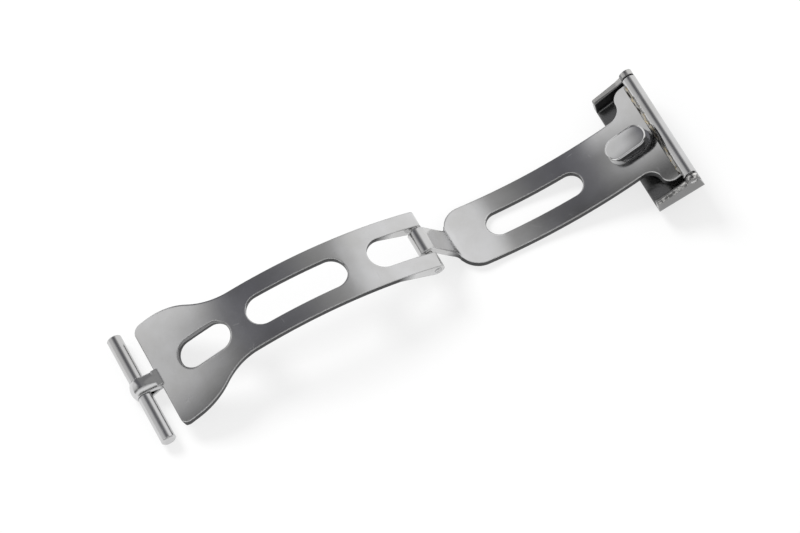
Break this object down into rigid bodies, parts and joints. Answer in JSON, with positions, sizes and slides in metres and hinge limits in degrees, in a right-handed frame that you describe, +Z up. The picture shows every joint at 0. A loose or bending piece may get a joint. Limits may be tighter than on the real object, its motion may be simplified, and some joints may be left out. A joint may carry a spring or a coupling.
{
  "type": "deployant clasp",
  "caption": "Open deployant clasp of polished steel for a 16 mm leather strap, with T-bar, catch stud and clamp bracket.",
  "frame": {"origin": "centre of the underside of the open clasp", "axes": "+X from the T-bar to the clamp bracket, +Y across the strap, +Z up out of the bowl"},
  "size_m": [0.078, 0.018, 0.0088],
  "materials": {
    "polished_steel": "polished",
    "satin_steel": "fine satin",
    "drawn_steel": "drawn and polished",
    "braze": "as brazed"
  },
  "bodies": {
    "inner": {"inner_blade": "polished_steel", "catch_stud": "polished_steel", "hinge_tube": "drawn_steel", "braze_seam": "braze"},
    "folding": {"folding_blade": "polished_steel", "t_bar": "drawn_steel", "fold_pin": "drawn_steel"},
    "clamp": {"clamp_bracket": "satin_steel", "clamp_pin": "drawn_steel"}
  },
  "joints": [
    {"name": "fold", "type": "hinge", "parent": "inner", "child": "folding", "pos_m": [0.00238, 0, 0.00524], "axis": [0, 1, 0], "range_deg": [0, 177.7]},
    {"name": "clamp", "type": "hinge", "parent": "inner", "child": "clamp", "pos_m": [0.037, 0, 0.00654], "axis": [0, -1, 0], "range_deg": [-8, 90]}
  ]
}
